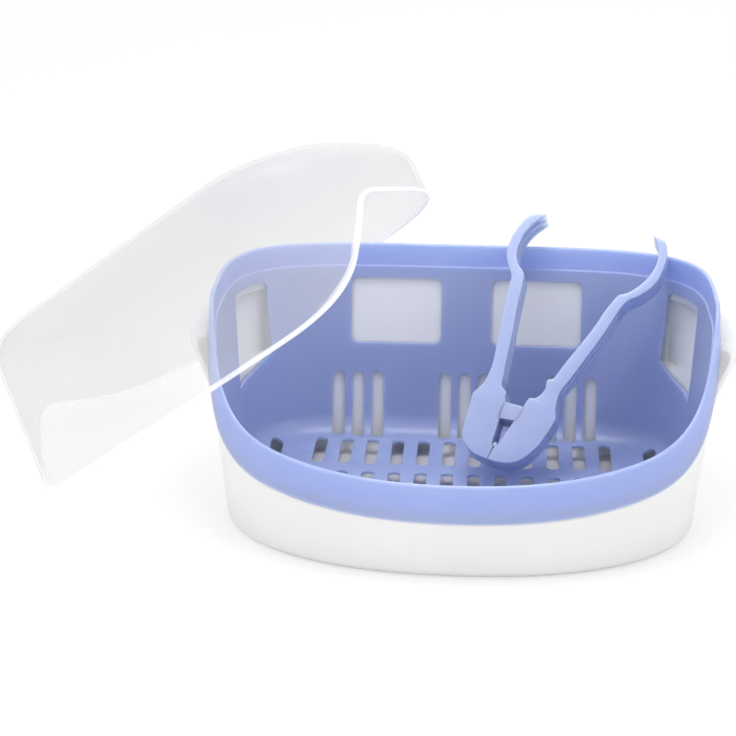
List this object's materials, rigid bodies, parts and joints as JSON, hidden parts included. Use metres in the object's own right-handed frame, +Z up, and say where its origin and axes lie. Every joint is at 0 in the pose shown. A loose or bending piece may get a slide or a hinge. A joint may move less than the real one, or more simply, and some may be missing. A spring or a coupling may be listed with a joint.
{
  "type": "baby bottle sterilizer",
  "caption": "White and lavender baby bottle steam sterilizer opened out, with slotted basket, clear lid leaned on it and spring tongs",
  "frame": {"origin": "middle of the tub's flat underside", "axes": "+X along the long side, +Y from the low front lip to the back, +Z up"},
  "size_m": [0.4293, 0.2625, 0.2108],
  "materials": {
    "white_plastic": "satin white polypropylene",
    "lavender_plastic": "satin translucent lavender-blue polypropylene",
    "clear_plastic": "clear, slightly milky polypropylene",
    "tongs_plastic": "satin lavender-blue polypropylene"
  },
  "bodies": {
    "tub": {"base_tub": "white_plastic"},
    "tray": {"basket": "lavender_plastic"},
    "cover": {"lid": "clear_plastic"},
    "tongs_left": {"tongs_left_arm": "tongs_plastic", "tongs_bridge": "tongs_plastic"},
    "tongs_right": {"tongs_right_arm": "tongs_plastic"}
  },
  "joints": [
    {"name": "basket_lift", "type": "slide", "parent": "tub", "child": "tray", "axis": [0, 0, 1], "range_m": [0, 0.15]},
    {"name": "lid_lift", "type": "slide", "parent": "tray", "child": "cover", "axis": [-0.4425, 0.4528, 0.7741], "range_m": [0, 0.14]},
    {"name": "tongs_lift", "type": "slide", "parent": "tray", "child": "tongs_left", "axis": [0, 0, 1], "range_m": [0, 0.15]},
    {"name": "tongs_squeeze", "type": "hinge", "parent": "tongs_left", "child": "tongs_right", "pos_m": [0.02942, 0.02207, 0.04361], "axis": [-0.11, -0.8219, 0.5589], "range_deg": [0, 26], "stiffness_Nm_per_rad": 2}
  ]
}
